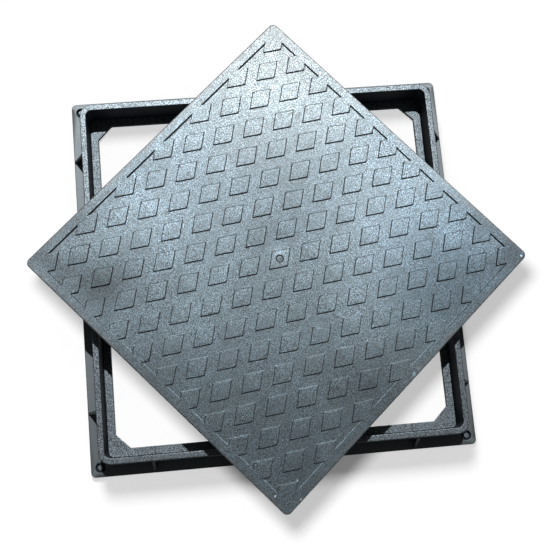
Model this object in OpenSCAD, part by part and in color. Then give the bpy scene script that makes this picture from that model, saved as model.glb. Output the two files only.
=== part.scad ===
// Square grease trap cover lying turned on the rim of its own seat frame.
// Both are one-piece mouldings of dark mineral-filled composite.
// Millimetres, +Z up. The origin is the centre of the frame, on its base plane.

/* [Cover] */
// Side of the square cover, across its top
cover_side = 500; // [360:10:700]
// Height of the cover, from the foot of its skirt to the top of its tread
cover_h = 40; // [28:1:60]
// Radius of the cover's upright corners
cover_corner_r = 8; // [5:1:14]
// Draft of the cover's side, inwards over its whole height
cover_draft = 1; // [0.5:0.1:2]
// Radius of the cover's top edge
cover_edge_r = 1.5; // [0.6:0.1:3]

/* [Tread] */
// Height of the border and of the rhombs above the field
tread_h = 2; // [1:0.5:4]
// Width of the raised border
border_w = 13.6; // [8:0.2:24]
// Long diagonal of a rhomb
rhomb_long = 42; // [20:1:60]
// Short diagonal of a rhomb
rhomb_short = 29; // [14:1:40]
// Radius at the ends of a rhomb's short diagonal
rhomb_blunt_r = 3; // [0.5:0.5:4]
// Distance between rhombs along their long diagonal
pitch_long = 76; // [66:0.5:110]
// Distance between rhombs along their short diagonal
pitch_short = 45.6; // [42:0.2:70]
// Diameter of the plain round recess in the middle rhomb
disc_d = 11; // [6:1:16]
// Depth of that recess
disc_depth = 0.6; // [0.3:0.1:1.5]

/* [Underside] */
// Thickness of the cover's plate, from the top of the tread
plate_t = 9; // [7:0.5:14]
// Width of the skirt round the underside
skirt_w = 8; // [6:0.5:14]
// Width of a rib
rib_w = 5; // [3:0.5:8]
// Pockets between ribs, each way
cells = 9; // [6:1:12]
// Chamfer in the corners of a pocket
pocket_chamfer = 5; // [2:0.5:10]

/* [Frame] */
// Clearance between the cover and the rim, on each side
seat_gap = 2.5; // [1:0.1:5]
// Width of the rim's flat top
rim_w = 9; // [6:0.5:14]
// Radius of the rim's top edges
rim_edge_r = 1.2; // [0.5:0.1:2.5]
// Draft of each side of the wall under the rim
wall_draft = 1; // [0.5:0.1:2]
// Extra radius of the seat's corners over the cover's
corner_relief = 1; // [0:0.5:4]
// Width of the ledge that carries the closed cover
ledge_w = 11.5; // [8:0.5:25]
// Thickness of the base plate, which is ledge and flange in one
base_t = 6; // [4:0.5:12]
// Width of the flange outside the wall
flange_w = 15; // [14:0.5:40]
// Radius of the flange's corners
flange_corner_r = 7; // [2:0.5:9]
// Leg of the chamfer in each corner of the clear opening
opening_chamfer = 20; // [6:1:40]

/* [Gussets and anchor holes] */
// Thickness of a gusset
gusset_t = 4; // [2:0.5:8]
// Distance from the rim's top down to the top of a gusset
gusset_drop = 4; // [2:0.5:12]
// Distance from a gusset's middle to the end of its side
gusset_inset = 90.5; // [40:0.5:140]
// Diameter of an anchor hole
anchor_d = 14; // [6:0.5:14]
// Distance from an anchor hole's centre to the flange's two edges
anchor_inset = 13.5; // [9:0.5:13.5]

/* [Cover's place on the frame] */
// Turn of the cover
cover_turn = 41.6; // [30:0.1:60]
// Shift of the cover's centre to the right
cover_shift_x = 10.4; // [-12:0.1:12]
// Shift of the cover's centre to the far side
cover_shift_y = 1.7; // [-12:0.1:12]

/* [Hidden] */
$fn = 48;
slip = 0.01;

cover_half = cover_side / 2;
field_half = cover_half - border_w;
field_z = cover_h - tread_h;
pocket_h = cover_h - plate_t;
pocket_w = (cover_side - 2 * skirt_w - (cells - 1) * rib_w) / cells;

seat_half = cover_half + seat_gap;
seat_corner_r = cover_corner_r + corner_relief;
foot_half = seat_half - wall_draft;
clear_half = foot_half - ledge_w;
wall_foot_half = seat_half + rim_w + wall_draft;
flange_half = wall_foot_half + flange_w;
frame_h = base_t + cover_h;

composite = [0.22, 0.25, 0.28];

// Carries an upright section round a square path with rounded corners. The section's x runs
// outwards from the centre of the corners, which lie in_half from the middle each way.
module round_square_path(in_half) {
    for (quarter = [0:3]) rotate(90 * quarter) {
        translate([in_half, in_half, 0]) rotate([90, 0, 0]) linear_extrude(2 * in_half) children();
        translate([in_half, in_half, 0]) rotate_extrude(angle = 90) children();
    }
}

module round_square(side, r) {
    square([side, side - 2 * r], center = true);
    square([side - 2 * r, side], center = true);
    for (x = [-1, 1], y = [-1, 1]) translate([x, y] * (side / 2 - r)) circle(r);
}

module chamfered_square(side, leg) {
    half = side / 2;
    inner = half - leg;
    polygon([
        [half, inner], [inner, half], [-inner, half], [-half, inner],
        [-half, -inner], [-inner, -half], [inner, -half], [half, -inner]
    ]);
}

// Section of the upright wall under the rim, with the base plate's thickness at its foot.
module wall_section() {
    inner = seat_corner_r;
    outer = seat_corner_r + rim_w;
    shoulder = frame_h - rim_edge_r;
    polygon([
        [inner - wall_draft, 0], [outer + wall_draft, 0], [outer + wall_draft, base_t],
        [outer, shoulder], [outer - rim_edge_r, frame_h], [inner + rim_edge_r, frame_h],
        [inner, shoulder], [inner - wall_draft, base_t]
    ]);
    for (x = [inner + rim_edge_r, outer - rim_edge_r]) translate([x, shoulder]) circle(rim_edge_r);
}

module base_plate() {
    linear_extrude(base_t) difference() {
        round_square(2 * flange_half, flange_corner_r);
        chamfered_square(2 * clear_half, opening_chamfer);
    }
}

// One thin fin from near the rim's top down to the edge of the flange, on the right-hand side.
module gusset() {
    wall_top_x = seat_half + rim_w;
    top_z = frame_h - gusset_drop;
    translate([0, gusset_t / 2, 0]) rotate([90, 0, 0]) linear_extrude(gusset_t) polygon([
        [wall_top_x - rim_w / 2, base_t / 2], [flange_half - rim_edge_r, base_t / 2],
        [flange_half - rim_edge_r, base_t], [wall_top_x, top_z], [wall_top_x - rim_w / 2, top_z]
    ]);
}

module gussets() {
    at = flange_half - gusset_inset;
    for (quarter = [0:3], y = [-at, at]) rotate(90 * quarter) translate([0, y, 0]) gusset();
}

module anchor_holes() {
    at = flange_half - anchor_inset;
    for (x = [-at, at], y = [-at, at])
        translate([x, y, -slip]) cylinder(d = anchor_d, h = base_t + 2 * slip);
}

module frame() {
    color(composite) difference() {
        union() {
            base_plate();
            round_square_path(seat_half - seat_corner_r) wall_section();
            gussets();
        }
        anchor_holes();
    }
}

// Section of the cover's drafted side and rounded top edge, over the corner radius.
module cover_edge_section() {
    shoulder = cover_h - cover_edge_r;
    polygon([
        [0, 0], [cover_corner_r - cover_draft, 0], [cover_corner_r, shoulder],
        [cover_corner_r - cover_edge_r, cover_h], [0, cover_h]
    ]);
    translate([cover_corner_r - cover_edge_r, shoulder]) circle(cover_edge_r);
}

module cover_blank() {
    in_half = cover_half - cover_corner_r;
    translate([-in_half, -in_half, 0]) cube([2 * in_half, 2 * in_half, cover_h]);
    round_square_path(in_half) cover_edge_section();
}

// A rhomb with sharp ends along its long diagonal. Each blunt end is an arc drawn as two chords.
module rhomb() {
    half_angle = atan(rhomb_long / rhomb_short);
    crown = rhomb_short / 2 - rhomb_blunt_r / sin(half_angle) + rhomb_blunt_r;
    touch = rhomb_blunt_r / tan(half_angle);
    touch_x = touch * sin(half_angle);
    touch_y = rhomb_short / 2 - touch * cos(half_angle);
    polygon([
        [rhomb_long / 2, 0], [touch_x, touch_y], [0, crown], [-touch_x, touch_y],
        [-rhomb_long / 2, 0], [-touch_x, -touch_y], [0, -crown], [touch_x, -touch_y]
    ]);
}

// Staggered rows of rhombs. A rhomb whose middle lies in the field is drawn whole, so the
// outermost ones run into the border.
module rhombs() {
    half_pitch = pitch_short / 2;
    last_row = floor(field_half / half_pitch);
    for (row = [-last_row:last_row]) {
        odd = abs(row) % 2;
        last = floor((field_half - odd * pitch_long / 2) / pitch_long);
        for (k = [-last - odd:last])
            translate([(k + odd / 2) * pitch_long, row * half_pitch]) rhomb();
    }
}

module field_recess() {
    translate([0, 0, field_z]) linear_extrude(tread_h + slip) difference() {
        square(2 * field_half, center = true);
        rhombs();
    }
    translate([0, 0, cover_h - disc_depth]) cylinder(d = disc_d, h = disc_depth + slip);
}

module pockets() {
    step = pocket_w + rib_w;
    first = -(cells - 1) / 2 * step;
    for (i = [0:cells - 1], j = [0:cells - 1])
        translate([first + i * step, first + j * step, -slip]) linear_extrude(pocket_h + slip)
            chamfered_square(pocket_w, pocket_chamfer);
}

module cover() {
    color(composite)
        translate([cover_shift_x, cover_shift_y, frame_h]) rotate(cover_turn) difference() {
            cover_blank();
            field_recess();
            pockets();
        }
}

frame();
cover();
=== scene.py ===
import math

import bpy
import numpy as np
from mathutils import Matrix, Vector


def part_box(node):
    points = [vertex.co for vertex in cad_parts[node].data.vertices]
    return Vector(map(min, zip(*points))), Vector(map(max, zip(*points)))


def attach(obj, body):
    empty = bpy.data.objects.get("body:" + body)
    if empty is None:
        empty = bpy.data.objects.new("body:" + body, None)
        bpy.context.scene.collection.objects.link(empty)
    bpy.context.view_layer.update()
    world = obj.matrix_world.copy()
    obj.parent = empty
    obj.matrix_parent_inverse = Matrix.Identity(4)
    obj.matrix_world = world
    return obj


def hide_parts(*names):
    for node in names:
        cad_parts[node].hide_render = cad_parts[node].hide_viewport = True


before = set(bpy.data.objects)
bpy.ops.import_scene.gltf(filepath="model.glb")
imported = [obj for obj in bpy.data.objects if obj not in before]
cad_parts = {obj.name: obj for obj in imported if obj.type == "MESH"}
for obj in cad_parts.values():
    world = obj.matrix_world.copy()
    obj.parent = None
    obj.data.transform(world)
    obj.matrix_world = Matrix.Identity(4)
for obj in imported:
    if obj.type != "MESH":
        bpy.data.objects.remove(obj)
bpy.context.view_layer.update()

bodyName = "root"
imageSide = 560  # pixels
mm = 0.001
near = 0.05 * mm  # heights and distances that differ by less are the same

# node settings that come up often
smooth = {"interpolation_type": "SMOOTHSTEP"}  # inputs: value, its range, and the range it gives
multiply = {"operation": "MULTIPLY"}
largest = {"operation": "MAXIMUM"}
smallest = {"operation": "MINIMUM"}
absolute = {"operation": "ABSOLUTE"}
colourMix = {"data_type": "RGBA"}  # inputs: 0 is the share of 7 over 6


def addNode(tree, kind, settings=None, inputs=(), out=0):
    # inputs: a list in the node's own order, or a dictionary by name or number
    node = tree.nodes.new("ShaderNode" + kind)
    for key, value in (settings or {}).items():
        setattr(node, key, value)
    for key, value in inputs.items() if isinstance(inputs, dict) else enumerate(inputs):
        if isinstance(value, bpy.types.NodeSocket):
            tree.links.new(value, node.inputs[key])
        else:
            node.inputs[key].default_value = value
    return node.outputs[out] if len(node.outputs) else node


def linearColour(code):
    # an sRGB hex value such as #6b7780, turned to linear red, green, blue and a full alpha
    level = np.array([int(code[i:i + 2], 16) for i in (1, 3, 5)]) / 255
    linear = np.where(level <= 0.04045, level / 12.92, ((level + 0.055) / 1.055) ** 2.4)
    return (*linear.tolist(), 1.0)


def newMaterial(name):
    material = bpy.data.materials.new(name)
    material.use_nodes = True
    material.node_tree.nodes.clear()
    return material, material.node_tree


def weightedSum(tree, start, parts):
    # start + socket * weight + socket * weight ...
    total = start
    for socket, weight in parts:
        total = addNode(tree, "Math", {"operation": "MULTIPLY_ADD"}, [socket, weight, total])
    return total


# shapes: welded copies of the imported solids, with rounded edges

def weldedMesh(source, name):
    # vertices closer than a micron become one, so that neighbouring triangles share their edges
    old = source.data
    co = np.empty(len(old.vertices) * 3, np.float32)
    corner = np.empty(len(old.loops), np.int32)
    old.vertices.foreach_get("co", co)
    old.loops.foreach_get("vertex_index", corner)
    co = co.reshape(-1, 3)
    micron = np.round(co * 1e6).astype(np.int64)
    _, first, place = np.unique(micron, axis=0, return_index=True, return_inverse=True)
    triangles = place.reshape(-1)[corner].reshape(-1, 3)
    mesh = bpy.data.meshes.new(name)
    mesh.from_pydata(co[first].tolist(), [], triangles.tolist())
    mesh.shade_smooth()
    return mesh


def edgeFacts(mesh):
    # turn: degrees between an edge's two faces, above 0 where the edge stands out and below 0
    # where it lies in a corner, from the cross product of the two normals along the edge;
    # middle and span: the edge's middle and its reach along each axis;
    # lean: the sum of the two normals
    co = np.empty(len(mesh.vertices) * 3, np.float32)
    normal = np.empty(len(mesh.polygons) * 3, np.float32)
    cornerVert = np.empty(len(mesh.loops), np.int32)
    cornerEdge = np.empty(len(mesh.loops), np.int32)
    start = np.empty(len(mesh.polygons), np.int32)
    count = np.empty(len(mesh.polygons), np.int32)
    ends = np.empty(len(mesh.edges) * 2, np.int32)
    mesh.vertices.foreach_get("co", co)
    mesh.polygons.foreach_get("normal", normal)
    mesh.loops.foreach_get("vertex_index", cornerVert)
    mesh.loops.foreach_get("edge_index", cornerEdge)
    mesh.polygons.foreach_get("loop_start", start)
    mesh.polygons.foreach_get("loop_total", count)
    mesh.edges.foreach_get("vertices", ends)
    co, normal, ends = co.reshape(-1, 3), normal.reshape(-1, 3), ends.reshape(-1, 2)
    face = np.repeat(np.arange(len(count)), count)
    following = np.arange(len(cornerVert)) + 1
    following[start + count - 1] = start
    along = co[cornerVert[following]] - co[cornerVert]
    order = np.argsort(cornerEdge, kind="stable")
    one, two = order[0::2], order[1::2]
    n1, n2 = normal[face[one]], normal[face[two]]
    size = np.degrees(np.arccos(np.clip((n1 * n2).sum(1), -1, 1)))
    side = np.sign((np.cross(n1, n2) * along[one]).sum(1))
    a, b = co[ends[:, 0]], co[ends[:, 1]]
    turn, middle, span, lean = size * side, (a + b) / 2, np.abs(b - a), n1 + n2
    return turn, middle, span, lean


def roundedPiece(name, mesh, radius, segments):
    # radius: metres for each edge, carried as a share of the largest by the Bevel modifier;
    # the finished mesh is then kept, with flat faces shaded flat
    weight = mesh.attributes.new("bevel_weight_edge", "FLOAT", "EDGE")
    weight.data.foreach_set("value", (radius / radius.max()).astype(np.float32))
    piece = bpy.data.objects.new(name, mesh)
    bpy.context.scene.collection.objects.link(piece)
    bevel = piece.modifiers.new("edge rounding", "BEVEL")
    bevel.limit_method = "WEIGHT"
    bevel.width = float(radius.max())
    bevel.segments = segments
    bevel.use_clamp_overlap = False
    bevel.harden_normals = False
    bevel.miter_outer = "MITER_SHARP"
    flat = piece.modifiers.new("flat faces stay flat", "WEIGHTED_NORMAL")
    flat.keep_sharp = True
    depsgraph = bpy.context.evaluated_depsgraph_get()
    rounded = bpy.data.meshes.new_from_object(
        piece.evaluated_get(depsgraph), preserve_all_data_layers=True, depsgraph=depsgraph)
    piece.modifiers.clear()
    piece.data = rounded
    rounded.name = name
    bpy.data.meshes.remove(mesh)
    return piece


def faceFacts(piece):
    mesh = piece.data
    normal = np.empty(len(mesh.polygons) * 3, np.float32)
    middle = np.empty(len(mesh.polygons) * 3, np.float32)
    mesh.polygons.foreach_get("normal", normal)
    mesh.polygons.foreach_get("center", middle)
    return normal.reshape(-1, 3), middle.reshape(-1, 3)


coverShape = {
    "turn": 41.6,  # degrees about +Z, as in the CAD
    "centre": (0.0104, 0.0017, 0.046),
    "treadHeight": 2.0 * mm,
    "treadTop": 0.55 * mm,  # rounding along the top of a tread step
    "treadTopFar": 1.0 * mm,  # the same on the sides that face +Y, worn rounder
    "farLean": 0.5,  # an edge leans that way when its two normals add up to more than this in Y
    "treadFoot": 0.3 * mm,
    "treadCorner": 0.3 * mm,
    "upright": 0.3 * mm,  # an edge that rises by more than this stands upright
    "discReach": 6.0 * mm,  # the middle recess with its edges
    "discEdge": 0.15 * mm,
    "underFrom": 3.0 * mm,  # below the top
    "underEdge": 0.8 * mm,
    "pocketCorner": 1.2 * mm,
    "foldLimit": 25,  # degrees, edges that turn less stay as they are
    "segments": 3,
}


def makeCover(shape):
    mesh = weldedMesh(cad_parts["cover"], "treadCover")
    turn, middle, span, lean = edgeFacts(mesh)
    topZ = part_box("cover")[1].z
    fieldZ = topZ - shape["treadHeight"]
    upright = span[:, 2] > shape["upright"]
    onTop = (middle[:, 2] > topZ - near) & ~upright
    onFoot = (abs(middle[:, 2] - fieldZ) < near) & ~upright
    inTread = (middle[:, 2] > fieldZ - near) & upright
    centre = np.array(shape["centre"][:2])
    nearDisc = np.hypot(*(middle[:, :2] - centre).T) < shape["discReach"]
    below = middle[:, 2] < topZ - shape["underFrom"]
    radius = np.zeros(len(turn))
    radius[onTop] = np.where(
        lean[onTop, 1] > shape["farLean"], shape["treadTopFar"], shape["treadTop"])
    radius[onFoot] = shape["treadFoot"]
    radius[inTread] = shape["treadCorner"]
    radius[below & (turn > 0)] = shape["underEdge"]
    radius[below & (turn < 0)] = shape["pocketCorner"]
    radius[nearDisc] = shape["discEdge"]
    radius[abs(turn) < shape["foldLimit"]] = 0
    return roundedPiece("treadCover", mesh, radius, shape["segments"])


anchorAt = 264.0 * mm  # an anchor hole's middle, each way

frameShape = {
    "outerEdge": 0.8 * mm,  # edges that stand out
    "innerCorner": 1.0 * mm,  # corners where wall, gusset and base meet
    "holeReach": 7.3 * mm,  # an anchor hole with its edges
    "holeEdge": 0.5 * mm,
    "foldLimit": 25,
    "segments": 3,
}


def makeFrame(shape):
    mesh = weldedMesh(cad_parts["frame"], "seatFrame")
    turn, middle = edgeFacts(mesh)[:2]
    radius = np.where(turn > 0, shape["outerEdge"], shape["innerCorner"])
    away = np.hypot(abs(middle[:, 0]) - anchorAt, abs(middle[:, 1]) - anchorAt)
    radius[away < shape["holeReach"]] = shape["holeEdge"]
    radius[abs(turn) < shape["foldLimit"]] = 0
    return roundedPiece("seatFrame", mesh, radius, shape["segments"])


knockOut = {
    "rim": 6.98 * mm,  # just inside the hole
    "disc": 3.3 * mm,
    "slope": 0.5 * mm,
    "top": 5.7 * mm,
    "bottom": 0.3 * mm,
    "depth": 4.2 * mm,
    "bridge": 0.35,  # half width of a bridge, as the sine of its angle
    "bridgeSlope": 0.12,
    "rings": (0.25, 0.6, 0.93, 1.0, 1.05, 1.1, 1.13, 1.25, 1.4),  # of the disc's radius
    "around": 48,
    "sharpAngle": 40,
}


def makeKnockOuts(shape):
    # a disc in each anchor hole, held by two bridges: height = top - depth * groove(r) * gap(angle),
    # where groove goes from 0 on the disc to 1 in the ring round it, and gap is 0 on a bridge
    angle = np.linspace(0, 2 * np.pi, shape["around"], endpoint=False)
    ring = np.append(np.array(shape["rings"]) * shape["disc"], shape["rim"])
    groove = np.clip((ring - shape["disc"]) / shape["slope"], 0, 1)
    gap = np.clip((np.abs(np.cos(angle)) - shape["bridge"]) / shape["bridgeSlope"], 0, 1)
    r, a = np.meshgrid(ring, angle, indexing="ij")
    z = shape["top"] - shape["depth"] * groove[:, None] * gap[None, :]
    upper = np.stack([r * np.cos(a), r * np.sin(a), z], -1).reshape(-1, 3)
    lower = upper[-len(angle):] * (1, 1, 0) + (0, 0, shape["bottom"])
    one = np.vstack([upper, lower, [[0, 0, shape["top"]], [0, 0, shape["bottom"]]]])
    # four-sided faces from each ring to the next and down the side, then a fan above and below
    count, rings = len(angle), len(ring)
    here = np.arange(count)
    after = (here + 1) % count
    low = np.arange(rings)[:, None] * count
    high = low + count
    quads = np.stack([low + here, high + here, high + after, low + after], -1).reshape(-1, 4)
    top, bottom, last = len(one) - 2, len(one) - 1, rings * count
    fans = np.vstack([np.stack([0 * here + top, here, after], -1),
                      np.stack([0 * here + bottom, after + last, here + last], -1)])
    inGroove = np.append(ring[1:], ring[-1]) > shape["disc"] + near
    corners = [(x, y, 0) for x in (-anchorAt, anchorAt) for y in (-anchorAt, anchorAt)]
    points = np.vstack([one + corner for corner in corners])
    base = np.arange(len(corners))[:, None, None] * len(one)
    polygons = (quads + base).reshape(-1, 4).tolist() + (fans + base).reshape(-1, 3).tolist()
    # the groove and the underside take the darker sides' finish: painted shade in the groove
    shadedGroove = np.concatenate([np.tile(np.repeat(inGroove, count), len(corners)),
                           np.tile(np.repeat([False, True], count), len(corners))])
    mesh = bpy.data.meshes.new("anchorKnockOuts")
    mesh.from_pydata(points.tolist(), [], polygons)
    mesh.shade_smooth()
    mesh.set_sharp_from_angle(angle=math.radians(shape["sharpAngle"]))
    piece = bpy.data.objects.new("anchorKnockOuts", mesh)
    bpy.context.scene.collection.objects.link(piece)
    return piece, shadedGroove


cover = makeCover(coverShape)
print("cover rounded")
seatFrame = makeFrame(frameShape)
knockOuts, shadedGrooveFaces = makeKnockOuts(knockOut)
print("frame rounded, knock-outs made")


# finish: moulded mineral-filled composite; its burnished skin has a dull graphite sheen that
# changes from speck to speck, so the pattern drives metallic and roughness more than colour

composite = {
    "skin": "#565e63",
    "pale": "#7b858b",
    "dark": "#1c2023",
    "ior": 1.5,
    "specular": 0.2,
    "roughness": 0.37,
    "roughMove": 0.06,  # how far haze and cloud each move the roughness
    # sizes in mm; a filler speck is about 0.3 mm, and the fine grain is drawn as coarse as it
    # needs to show
    "fineSize": 1.35,
    "coarseSize": 4.5,
    "hazeSize": 22.0,
    "cloudSize": 75.0,
    "patchSize": 45.0,
    "dustSize": 7.0,
    "streakWidth": 2.2,
    "streakLength": 55.0,
    "streaks": ((28, 0.3), (-61, 0.7)),  # degrees and offset
    "streakGrain": (2.0, 0.6, 0.3),  # detail, roughness and distortion of the noise
    "patchRange": (0.38, 0.62),  # the patch pattern picks smoother and rougher places
    "grainPower": (0.8, 1.15),  # of the fine grain there
    "paleRange": (0.1, 0.5),  # of the shade, where the pale tone comes in
    "darkRange": (-0.5, -0.1),
    "fineShare": 1.2,  # how far each pattern moves the shade
    "coarseShare": 0.45,
    "hazeShare": 0.45,
    "cloudShare": 0.35,
    "streakShare": 0.35,
    "pits": 0.3,  # how much darker a pit is
    "pitSpacing": 16.0,
    "pitRange": (0.035, 0.07),  # of the spacing, from full to gone
    "sink": 0.0,  # how much darker the sink line over a gusset is
    "fineHeight": 0.05 * mm,
    "coarseHeight": 0.06 * mm,
}

coverSkin = {
    "skin": "#465055",
    "pale": "#64737d",
    "sheen": 0.42,  # middle share of the graphite sheen
    "fineSize": 1.2,
    "fineShare": 3.0,
    "coarseShare": 0.05,
    "hazeShare": 0.15,
    "cloudShare": 0.25,
    "streakShare": 0.2,
    "fineHeight": 0.07 * mm,
    "coarseHeight": 0.02 * mm,
}

frameSkin = {
    "roughness": 0.42,
    "sheen": 0.72,
    "fineSize": 1.2,
    "fineShare": 4.0,
    "coarseShare": 0.1,
    "hazeShare": 0.2,
    "cloudShare": 0.25,
    "streakShare": 0.25,
    "fineHeight": 0.1 * mm,
    "coarseHeight": 0.03 * mm,
}

# the ledge that carries the closed cover is rubbed duller than the rim
ledgeSkin = frameSkin | {
    "roughness": 0.5,
    "sheen": 0.9,
    "pits": 0.6,
    "sink": 0.6,
    "sinkAt": 186.0 * mm,
    "sinkRange": (0.18 * mm, 0.9 * mm),  # from full to gone
}

# the flange came off a smoother part of the mould, so its grain hardly shows
plainFlange = {
    "skin": "#5a6063",
    "roughness": 0.46,
    "sheen": 0.75,
    "fineShare": 0.2,
    "coarseShare": 0.15,
    "fineHeight": 0.012 * mm,
    "coarseHeight": 0.02 * mm,
}

# the drafted sides keep the mould's matt grain, with no graphite sheen; their tone is far darker than
# the top's, painted shade on the walls
shadedDullSides = {
    "skin": "#20262d",
    "pale": "#363d46",
    "dark": "#14171a",
    "specular": 0.04,
    "roughness": 0.6,
    "sheen": 0.0,
}

# detail, offset and distortion of each mottled pattern; the offsets keep them apart
mottles = {
    "fine": (1.0, 0.0, 0.0),
    "coarse": (2.0, 3.1, 0.0),
    "haze": (3.0, 5.7, 0.4),
    "cloud": (3.0, 9.2, 0.6),
    "patch": (2.0, 17.3, 0.0),
    "dust": (3.0, 21.4, 0.5),
}
mottleRoughness = 0.55
# keeps the flat faces from lying along the noise's own planes, where it fades
mottleTurn = (0.6, 0.5, 0.3)
noiseMiddle = 0.5  # a noise lies evenly about it

# how the cover's top departs from flat, in its own axes: height is a sum of these times
# x, y, x squared, x times y and y squared, in metres
coverSag = (0.0084, -0.0544, 0.0688, -0.1568, 0.0704)

# soft places where the cover's top is brighter or darker, in its own axes: x, y and reach
# in millimetres, and the change of brightness in the middle; partly uneven burnish and real nicks and
# scuffs, partly painted sheen and shade laid where the glare falls brighter or dimmer, with the glows
# and the glint painted highlights
burnishAndPaintedSheen = {
    "rightBand": (126, -157, 206, 0.54),
    "rightCorner": (143, -201, 157, -0.76),
    "leftGlow": (-100, 176, 91, 0.37),
    "leftMiddle": (-133, 36, 95, 0.23),
    "leftCorner": (-170, 199, 103, -0.73),
    "topMiddle": (74, 72, 137, -0.19),
    "bottomRight": (-24, -218, 106, -0.28),
    "leftSpot": (-161, 202, 70, 0.77),
    "topRight": (169, 175, 63, 0.18),
    "rightTip": (240, -232, 62, -0.5),
    "leftTip": (-228, 240, 50, -0.25),
    "leftUpperEdge": (-165, 248, 60, -0.22),
    "leftLowerEdge": (-252, 222, 36, 0.25),
    "leftInnerDull": (-200, 152, 48, -0.24),
    "rightUpperEdge": (248, -165, 60, -0.28),
    "middleDull": (12, 34, 62, -0.15),
    "lowerRightEdge": (-60, -235, 90, -0.12),
    "discGlow": (3, 3, 27, 0.55),
    "disc": (0, 0, 8.5, -0.75),
    "rightGlint": (224, -203, 29, 0.5),
    "lowerLeftEdge": (-342, 8, 187, -0.4),
    "bottomLeftDull": (-158, -160, 74, -0.15),
    "leftTipSpot": (-198, 235, 38, 0.4),
    "upperLeftPale": (-55, 106, 135, 0.1),
    "lowerPaleOne": (34, -117, 60, 0.18),
    "lowerPaleTwo": (-66, -92, 49, 0.18),
    "rightPale": (202, -158, 47, 0.25),
    "nickRight": (242.6, -244.6, 1.9, 4.0),
    "nickBottomLeft": (-240.9, -219.4, 2.2, 6.0),
    "nickBottom": (-220.4, -247.2, 2.0, 4.0),
    "nickBottomInner": (-205.3, -226.6, 2.0, 4.0),
    "scuffOne": (11, -246, 5, 0.9),
    "scuffTwo": (21, -246, 5, 0.7),
}

# where the tone departs from the skin's own: place and reach as above, and the gain of red,
# green and blue in the middle; the top one is a painted highlight, paler and warmer where the glare
# lies
tints = {
    "paintedHighlightTop": (235, 235, 270, (1.32, 1.16, 1.06)),
    "blueRight": (190, -200, 200, (0.9, 1.0, 1.08)),
}

# the tread's lattices, and what lies along its edges; a range goes from full to gone, as a
# distance from the tread's edge, below 0 on the tread itself
tread = {
    "halfLong": 21.0 * mm,
    "halfShort": 14.5 * mm,
    "pitchLong": 76.0 * mm,
    "pitchShort": 45.6 * mm,
    "field": 236.4 * mm,  # from the middle to the border
    # the dark band along the tread's feet: partly dirt, partly painted shade
    "dirtAndShade": "#2b3034",
    "dirtAndShadeRange": (0.44 * mm, 1.1 * mm),
    "shadeShift": (-0.19 * mm, -0.13 * mm, 0.0),  # towards the sides away from the light, where the band is wider: painted shade
    "dirtAndShadeRough": 0.4,  # how much rougher it is
    "shadeStripRange": (1.33 * mm, 1.9 * mm),  # a wider dark strip along the two upper borders, painted shade at the foot of their steps
    "shadeStripLess": 0.4 * mm,  # how much narrower it is on the +X border
    "farShift": (0.284 * mm, 0.4115 * mm, 0.0),  # half a millimetre towards the far sides
    "farGain": (0.15 * mm, 0.3 * mm),  # gain of distance by that step, up to a full far side
    "rhombGain": (0.43 * mm, 0.48 * mm),  # and from a border's far side to a rhomb's
    "borderUnshaded": 0.9,  # share of the dark band that the far sides, which face the light, lack, on a border and on a rhomb: painted shade kept off the lit sides
    "rhombUnshaded": 0.6,
    "ringAt": 4.95 * mm,  # dark ring round the recess, from its middle: dirt in its corner and painted shade
    "ringRange": (0.55 * mm, 1.21 * mm),
    "ringDirtAndShade": 0.8,
    "wear": 0.2,  # paler strip along the tread's edges
    "wearRange": (-1.0 * mm, -0.3 * mm),  # from none to full
    "paintedGlint": 1.5,  # painted glint: a bright line on the far sides, near the cover's lower corner
    "glintAt": 0.5 * mm,
    "glintRange": (0.5 * mm, 1.0 * mm),  # to each side of its middle
    "glintFrom": (-170.0 * mm, -10.0 * mm),  # along the world's y, from full to gone
    "dust": "#5f5f5e",
    "dustShare": 0.55,
    "dustRange": (239.0 * mm, 250.0 * mm),  # from none to full, out to the cover's edge
    "dustSpread": (0.42, 0.62),  # of its pattern
    "dustDull": 0.6,  # share of the sheen that it hides
}


def mottle(tree, point, look, kind):
    detail, offset, distortion = mottles[kind]
    moved = addNode(tree, "Mapping", {}, {
        "Vector": point, "Location": (offset, offset, offset), "Rotation": mottleTurn})
    return addNode(tree, "TexNoise", {}, {
        "Vector": moved, "Scale": 1 / (look[kind + "Size"] * mm), "Detail": detail,
        "Roughness": mottleRoughness, "Distortion": distortion})


def streak(tree, point, look, angle, offset):
    # noise drawn out along a line across the top
    detail, rough, distortion = look["streakGrain"]
    turned = addNode(tree, "Mapping", {}, {
        "Vector": point, "Location": (offset, offset, 0), "Rotation": (0, 0, math.radians(angle)),
        "Scale": (1 / (look["streakLength"] * mm), 1 / (look["streakWidth"] * mm), 1)})
    return addNode(tree, "TexNoise", {}, {
        "Vector": turned, "Scale": 1.0, "Detail": detail, "Roughness": rough,
        "Distortion": distortion})


def foldedPlace(tree, point):
    # |x| and |y| of a point
    folded = addNode(tree, "VectorMath", absolute, [point])
    return addNode(tree, "SeparateXYZ", {}, [folded]).node.outputs[:2]


def placeShare(tree, flat, x, y, reach):
    # 1 in the middle of a soft place, and smoothly down to 0 at its reach
    away = addNode(tree, "VectorMath", {"operation": "DISTANCE"}, [flat, (x * mm, y * mm, 0)], out=1)
    return addNode(tree, "MapRange", smooth, [away, 0.0, reach * mm, 1.0, 0.0])


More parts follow.
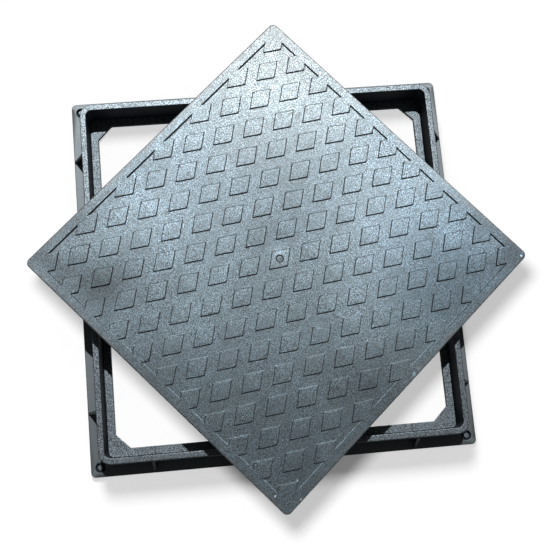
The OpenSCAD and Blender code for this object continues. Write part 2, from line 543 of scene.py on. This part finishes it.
def treadDistance(tree, point, shape):
    # distance outwards from the nearest edge of the raised tread, below 0 on the tread itself:
    # the point is wrapped into one cell of each of the two rhomb lattices, and there
    # |x| / half long + |y| / half short - 1 is 0 on a rhomb's edge
    cell = (shape["pitchLong"] / 2, shape["pitchShort"] / 2, 1.0)
    slope = (1 / shape["halfLong"], 1 / shape["halfShort"], 0)
    scale = 1 / math.hypot(*slope)
    field = addNode(tree, "Math", largest, foldedPlace(tree, point))
    nearest = weightedSum(tree, shape["field"], [(field, -1.0)])
    for shift in ((0, 0, 0), (cell[0], cell[1], 0)):
        moved = addNode(tree, "VectorMath", {"operation": "ADD"}, [point, shift])
        wrapped = addNode(tree, "VectorMath", {"operation": "WRAP"}, [
            moved, cell, tuple(-side for side in cell)])
        folded = addNode(tree, "VectorMath", absolute, [wrapped])
        reach = addNode(tree, "VectorMath", {"operation": "DOT_PRODUCT"}, [folded, slope], out=1)
        away = weightedSum(tree, -scale, [(reach, scale)])
        nearest = addNode(tree, "Math", smallest, [nearest, away])
    return nearest


def treadDirtAndShade(tree, point, flat, away, gained, facing, shape):
    # share of the dark band along the tread's feet and round the recess: partly dirt, partly painted
    # shade that lies wider on the sides away from the light
    moved = addNode(tree, "VectorMath", {"operation": "SUBTRACT"}, [point, shape["shadeShift"]])
    dirtAndShade = addNode(tree, "MapRange", smooth, [
        treadDistance(tree, moved, shape), *shape["dirtAndShadeRange"], 1.0, 0.0])
    x, y = addNode(tree, "SeparateXYZ", {}, [point]).node.outputs[:2]
    upper = addNode(tree, "Math", largest, [weightedSum(tree, -shape["shadeStripLess"], [(x, 1.0)]), y])
    fromUpper = weightedSum(tree, shape["field"], [(upper, -1.0)])
    strip = addNode(tree, "MapRange", smooth, [fromUpper, *shape["shadeStripRange"], 1.0, 0.0])
    dirtAndShade = addNode(tree, "Math", largest, [dirtAndShade, strip])
    onField = addNode(tree, "MapRange", smooth, [away, 0.0, near, 0.0, 1.0])
    dirtAndShade = addNode(tree, "Math", multiply, [dirtAndShade, onField])
    # the border's far sides, which face the light, lack the painted shade; those of the rhombs keep
    # some of the band
    unshaded = addNode(tree, "MapRange", smooth, [
        gained, *shape["rhombGain"], shape["borderUnshaded"], shape["rhombUnshaded"]])
    lacking = addNode(tree, "Math", multiply, [facing, unshaded])
    dirtAndShade = addNode(tree, "Math", multiply, [dirtAndShade, weightedSum(tree, 1.0, [(lacking, -1.0)])])
    reach = addNode(tree, "VectorMath", {"operation": "LENGTH"}, [flat], out=1)
    offRing = addNode(tree, "Math", absolute, [weightedSum(tree, -shape["ringAt"], [(reach, 1.0)])])
    ring = addNode(tree, "MapRange", smooth, [
        offRing, *shape["ringRange"], shape["ringDirtAndShade"], 0.0])
    return addNode(tree, "Math", largest, [dirtAndShade, ring])


def edgeWearAndGlint(tree, point, away, facing, shape):
    # 1 plus the wear along the tread's edges and a painted glint on its far sides
    wear = addNode(tree, "MapRange", smooth, [away, *shape["wearRange"], 0.0, shape["wear"]])
    onTread = addNode(tree, "MapRange", smooth, [away, -near, 0.0, 1.0, 0.0])
    wear = addNode(tree, "Math", multiply, [wear, onTread])
    turn = math.radians(coverShape["turn"])
    worldY = addNode(tree, "VectorMath", {"operation": "DOT_PRODUCT"}, [
        point, (math.sin(turn), math.cos(turn), 0)], out=1)
    low = addNode(tree, "MapRange", smooth, [worldY, *shape["glintFrom"], shape["paintedGlint"], 0.0])
    offEdge = addNode(tree, "Math", absolute, [weightedSum(tree, -shape["glintAt"], [(away, 1.0)])])
    band = addNode(tree, "MapRange", smooth, [offEdge, *shape["glintRange"], 1.0, 0.0])
    paintedGlint = addNode(tree, "Math", multiply, [low, addNode(tree, "Math", multiply, [band, facing])])
    return weightedSum(tree, 1.0, [(wear, 1.0), (paintedGlint, 1.0)])


def treadLook(tree, point, look, shape, tone, sheen, roughness):
    # what the cover's top has over the plain composite: tints with a painted highlight, dust, dirt
    # with painted shade, wear with a painted glint, and burnish with painted sheen and shade
    flat = addNode(tree, "VectorMath", multiply, [point, (1, 1, 0)])
    away = treadDistance(tree, point, shape)
    # on a far side, a step towards the far side leads away from the tread by its full length
    farther = addNode(tree, "VectorMath", {"operation": "ADD"}, [point, shape["farShift"]])
    gained = addNode(tree, "Math", {"operation": "SUBTRACT"}, [
        treadDistance(tree, farther, shape), away])
    facing = addNode(tree, "MapRange", smooth, [gained, *shape["farGain"], 0.0, 1.0])
    for x, y, reach, gain in tints.values():
        tint = addNode(tree, "Mix", colourMix, {
            0: placeShare(tree, flat, x, y, reach), 6: (1, 1, 1, 1), 7: (*gain, 1)}, out=2)
        tone = addNode(tree, "VectorMath", multiply, [tone, tint])
    outwards = addNode(tree, "Math", largest, foldedPlace(tree, point))
    dusty = addNode(tree, "MapRange", smooth, [outwards, *shape["dustRange"], 0.0, shape["dustShare"]])
    spread = addNode(tree, "MapRange", smooth, [
        mottle(tree, point, look, "dust"), *shape["dustSpread"], 0.0, 1.0])
    dusty = addNode(tree, "Math", multiply, [dusty, spread])
    dirtAndShade = treadDirtAndShade(tree, point, flat, away, gained, facing, shape)
    for share, colour in ((dusty, shape["dust"]), (dirtAndShade, shape["dirtAndShade"])):
        tone = addNode(tree, "Mix", colourMix, {0: share, 6: tone, 7: linearColour(colour)}, out=2)
    for share, hidden in ((dusty, shape["dustDull"]), (dirtAndShade, 1.0)):
        sheen = addNode(tree, "Math", multiply, [sheen, weightedSum(tree, 1.0, [(share, -hidden)])])
    # burnish together with painted sheen and shade, as a factor on the tone
    burnishAndSheen = weightedSum(tree, 1.0, [
        (placeShare(tree, flat, x, y, reach), change) for x, y, reach, change in burnishAndPaintedSheen.values()])
    for factor in (edgeWearAndGlint(tree, point, away, facing, shape), burnishAndSheen):
        tone = addNode(tree, "VectorMath", {"operation": "SCALE"}, {0: tone, "Scale": factor})
    return tone, sheen, weightedSum(tree, roughness, [(dirtAndShade, shape["dirtAndShadeRough"])])


def makeComposite(name, look, treaded=False):
    material, tree = newMaterial(name)
    point = addNode(tree, "TexCoord").node.outputs["Object"]
    if treaded:
        point = addNode(tree, "Mapping", {"vector_type": "TEXTURE"}, {
            "Vector": point, "Location": coverShape["centre"],
            "Rotation": (0, 0, math.radians(coverShape["turn"]))})
    fine, coarse, haze, cloud, patch = [
        mottle(tree, point, look, kind) for kind in ("fine", "coarse", "haze", "cloud", "patch")]
    grainPower = addNode(tree, "MapRange", smooth, [patch, *look["patchRange"], *look["grainPower"]])
    fineMove = addNode(tree, "Math", multiply, [
        weightedSum(tree, -noiseMiddle, [(fine, 1.0)]), grainPower])
    streaks = weightedSum(tree, -noiseMiddle * len(look["streaks"]), [
        (streak(tree, point, look, angle, offset), 1.0) for angle, offset in look["streaks"]])
    # less each noise's middle, so that the middle of the shade is 0
    centre = noiseMiddle * (look["coarseShare"] + look["hazeShare"] + look["cloudShare"])
    shade = weightedSum(tree, -centre, [
        (fineMove, look["fineShare"]), (coarse, look["coarseShare"]), (haze, look["hazeShare"]),
        (cloud, look["cloudShare"]), (streaks, look["streakShare"])])
    paleShare = addNode(tree, "MapRange", smooth, [shade, *look["paleRange"], 0.0, 1.0])
    darkShare = addNode(tree, "MapRange", smooth, [shade, *look["darkRange"], 1.0, 0.0])
    tone = addNode(tree, "Mix", colourMix, {
        0: paleShare, 6: linearColour(look["skin"]), 7: linearColour(look["pale"])}, out=2)
    tone = addNode(tree, "Mix", colourMix, {
        0: darkShare, 6: tone, 7: linearColour(look["dark"])}, out=2)
    speck = addNode(tree, "TexVoronoi", {}, {
        "Vector": point, "Scale": 1 / (look["pitSpacing"] * mm)})
    marks = addNode(tree, "MapRange", smooth, [speck, *look["pitRange"], look["pits"], 0.0])
    if look["sink"]:
        along = addNode(tree, "Math", smallest, foldedPlace(tree, point))
        offLine = addNode(tree, "Math", absolute, [weightedSum(tree, -look["sinkAt"], [(along, 1.0)])])
        sink = addNode(tree, "MapRange", smooth, [offLine, *look["sinkRange"], look["sink"], 0.0])
        marks = addNode(tree, "Math", largest, [marks, sink])
    tone = addNode(tree, "VectorMath", {"operation": "SCALE"}, {
        0: tone, "Scale": weightedSum(tree, 1.0, [(marks, -1.0)])})
    roughness = weightedSum(tree, look["roughness"] - 2 * noiseMiddle * look["roughMove"], [
        (haze, look["roughMove"]), (cloud, look["roughMove"])])
    sheen = 0.0
    if look["sheen"]:
        sheen = weightedSum(tree, look["sheen"], [(shade, look["sheen"])])
    heights = [(fine, look["fineHeight"]), (coarse, look["coarseHeight"])]
    if treaded:
        x, y = addNode(tree, "SeparateXYZ", {}, [point]).node.outputs[:2]
        squares = [addNode(tree, "Math", multiply, pair) for pair in ([x, x], [x, y], [y, y])]
        heights += list(zip((x, y, *squares), coverSag))
        tone, sheen, roughness = treadLook(tree, point, look, tread, tone, sheen, roughness)
    if look["sheen"]:
        sheen = addNode(tree, "Math", largest | {"use_clamp": True}, [sheen, 0.0])
    height = weightedSum(tree, 0.0, heights)
    bump = addNode(tree, "Bump", {}, {"Strength": 1.0, "Distance": 1.0, "Height": height})
    shader = addNode(tree, "BsdfPrincipled", {}, {
        "Base Color": tone, "Metallic": sheen, "Roughness": roughness, "IOR": look["ior"],
        "Specular IOR Level": look["specular"], "Normal": bump})
    addNode(tree, "OutputMaterial", {}, {"Surface": shader})
    return material


coverTop = makeComposite("burnishedCompositeCover", composite | coverSkin, treaded=True)
frameTop = makeComposite("burnishedCompositeFrame", composite | frameSkin)
ledgeTop = makeComposite("rubbedCompositeLedge", composite | ledgeSkin)
flangeTop = makeComposite("smoothCompositeFlange", composite | plainFlange)
# a darker copy of the composite for the sides: painted shade
sides = makeComposite("mattShadedCompositeSides", composite | shadedDullSides)


def giveMaterials(piece, materials, index):
    for material in materials:
        piece.data.materials.append(material)
    piece.data.polygons.foreach_set("material_index", index.astype(np.int32))


# which faces get which finish
finish = {
    "coverSteep": 0.4,  # faces whose normal has less upwards than this take the matt, darker sides' finish: painted shade
    "frameSteep": 0.75,
    "treadFrom": 83.0 * mm,  # above it, sides that face +Y, towards the light, keep the top's brighter finish, and the sides facing away get painted shade
    "treadFacing": 0.3,
    "baseTop": 8.0 * mm,  # flange and ledge lie below it
    "flangeFrom": 262.5 * mm,
    "ledgeTo": 252.0 * mm,
}

normal, middle = faceFacts(cover)
# steep tread faces take the lit or the shaded copy of the composite by the way they face: painted
# light and shade
farSide = (middle[:, 2] >= finish["treadFrom"]) & (normal[:, 1] >= finish["treadFacing"])
mattShaded = (normal[:, 2] < finish["coverSteep"]) & ~farSide
giveMaterials(cover, (coverTop, sides), np.where(mattShaded, 1, 0))
normal, middle = faceFacts(seatFrame)
outwards = np.abs(middle[:, :2]).max(1)
onBase = middle[:, 2] < finish["baseTop"]
onFlange = onBase & (outwards > finish["flangeFrom"])
onLedge = onBase & (outwards < finish["ledgeTo"])
# steep faces of the frame take the darker sides' finish: painted shade on its walls
giveMaterials(seatFrame, (frameTop, sides, flangeTop, ledgeTop), np.select(
    [normal[:, 2] < finish["frameSteep"], onFlange, onLedge], [1, 2, 3], 0))
giveMaterials(knockOuts, (frameTop, sides), np.where(shadedGrooveFaces, 1, 0))

for piece, slot in ((cover, "cover_composite"), (seatFrame, "frame_composite"),
                    (knockOuts, "frame_composite")):
    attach(piece, bodyName)
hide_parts("cover")
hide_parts("frame")
print("materials done")


# floor, light and camera

studio = {
    "floorColour": "#d9d9d9",
    "floorGlow": 0.15,
    "floorDiffuse": 0.9,
    "floorHalf": 60.0,
    "floorAt": -0.1 * mm,  # clear of the frame's underside, which lies at 0
    "sunAzimuth": 4.53,  # degrees, and so are the next two angles
    "sunHeight": 62.6,
    "sunWidth": 0.8,
    "sunPower": 3.2,
    "sunDistance": 3.0,  # where it stands, which changes no light
    # lamps of the floor: x, y, height, radius and share of the floor's white; near the camera,
    # so that the shadows keep close to the object all round
    "coverLamp": (-0.25, 0.20, 1.43, 0.19, 0.45),
    "frameLamp": (-0.24, 1.22, 1.43, 0.28, 0.34),
    "fill": 0.09,
}


def makeFloor(look):
    mesh = bpy.data.meshes.new("floor")
    half, z = look["floorHalf"], look["floorAt"]
    corners = [(-half, -half, z), (half, -half, z), (half, half, z), (-half, half, z)]
    mesh.from_pydata(corners, [], [(0, 1, 2, 3)])
    floor = bpy.data.objects.new("floor", mesh)
    bpy.context.scene.collection.objects.link(floor)
    material, tree = newMaterial("paleFloor")
    ray = addNode(tree, "LightPath").node.outputs
    seen = addNode(tree, "Math", {"operation": "ADD"}, [ray["Is Camera Ray"], ray["Is Glossy Ray"]])
    seen = addNode(tree, "Math", {"operation": "ADD", "use_clamp": True}, [
        seen, ray["Is Transmission Ray"]])
    plain = addNode(tree, "BsdfDiffuse", {}, {"Color": linearColour(look["floorColour"])})
    glow = addNode(tree, "Emission", {}, {"Color": (1, 1, 1, 1), "Strength": look["floorGlow"]})
    level = look["floorDiffuse"]
    shaded = addNode(tree, "BsdfDiffuse", {}, {"Color": (level, level, level, 1)})
    shadowed = addNode(tree, "AddShader", {}, [glow, shaded])
    mixed = addNode(tree, "MixShader", {}, [seen, plain, shadowed])
    addNode(tree, "OutputMaterial", {}, {"Surface": mixed})
    mesh.materials.append(material)
    return floor


def newGroup(name, pieces):
    group = bpy.data.collections.new(name)
    for piece in pieces:
        group.objects.link(piece)
    return group


def addSun(look, receivers):
    data = bpy.data.lights.new("sun", "SUN")
    data.energy = look["sunPower"]
    data.angle = math.radians(look["sunWidth"])
    sun = bpy.data.objects.new("sun", data)
    a, h = math.radians(look["sunAzimuth"]), math.radians(look["sunHeight"])
    towards = Vector((math.sin(a) * math.cos(h), math.cos(a) * math.cos(h), math.sin(h)))
    sun.rotation_euler = towards.to_track_quat("Z", "Y").to_euler()
    sun.location = towards * look["sunDistance"]
    bpy.context.scene.collection.objects.link(sun)
    sun.light_linking.receiver_collection = newGroup("sunReceivers", receivers)


def addFloorLamp(look, name, receivers, blockers):
    # the floor gets the same light everywhere: a lamp's light falls with the square of the
    # distance, and with the height over the distance for its slant, so the cube of the distance
    # over the height makes up for both
    x, y, height, radius, share = look[name]
    data = bpy.data.lights.new(name, "POINT")
    data.energy = 4 * math.pi ** 2 * share / look["floorDiffuse"]
    data.shadow_soft_size = radius
    data.use_nodes = True
    tree = data.node_tree
    tree.nodes.clear()
    overHeight = addNode(tree, "LightFalloff", {}, {"Strength": 1 / height}).node.outputs["Linear"]
    cube = addNode(tree, "LightFalloff", {}, {"Strength": overHeight}).node.outputs["Constant"]
    light = addNode(tree, "Emission", {}, {"Strength": cube})
    addNode(tree, "OutputLight", {}, {"Surface": light})
    lamp = bpy.data.objects.new(name, data)
    lamp.location = (x, y, height)
    lamp.visible_camera = False
    bpy.context.scene.collection.objects.link(lamp)
    lamp.light_linking.receiver_collection = newGroup(name + "Receivers", receivers)
    lamp.light_linking.blocker_collection = newGroup(name + "Blockers", blockers)


floor = makeFloor(studio)
addSun(studio, [cover, seatFrame, knockOuts])
addFloorLamp(studio, "coverLamp", [floor], [cover])
addFloorLamp(studio, "frameLamp", [floor], [seatFrame, knockOuts])

world = bpy.data.worlds.new("studio")
world.use_nodes = True
sky = world.node_tree
sky.nodes.clear()
light = addNode(sky, "Background", {}, {"Color": (1, 1, 1, 1), "Strength": studio["fill"]})
addNode(sky, "OutputWorld", {}, {"Surface": light})
bpy.context.scene.world = world

view = {
    "place": (-0.08769, -0.26730, 1.43198),
    "turn": (0.180588, -0.055132, -0.087934),  # radians
    "focal": 980.585,  # pixels
    "sensor": 36.0,
    "clipEnd": 100.0,
}
cameraData = bpy.data.cameras.new("camera")
cameraData.sensor_width = view["sensor"]
cameraData.lens = view["focal"] / imageSide * view["sensor"]
cameraData.clip_end = view["clipEnd"]
camera = bpy.data.objects.new("camera", cameraData)
camera.location = view["place"]
camera.rotation_euler = view["turn"]
bpy.context.scene.collection.objects.link(camera)
bpy.context.scene.camera = camera
bpy.context.scene.view_settings.view_transform = "Standard"
print("stage done")
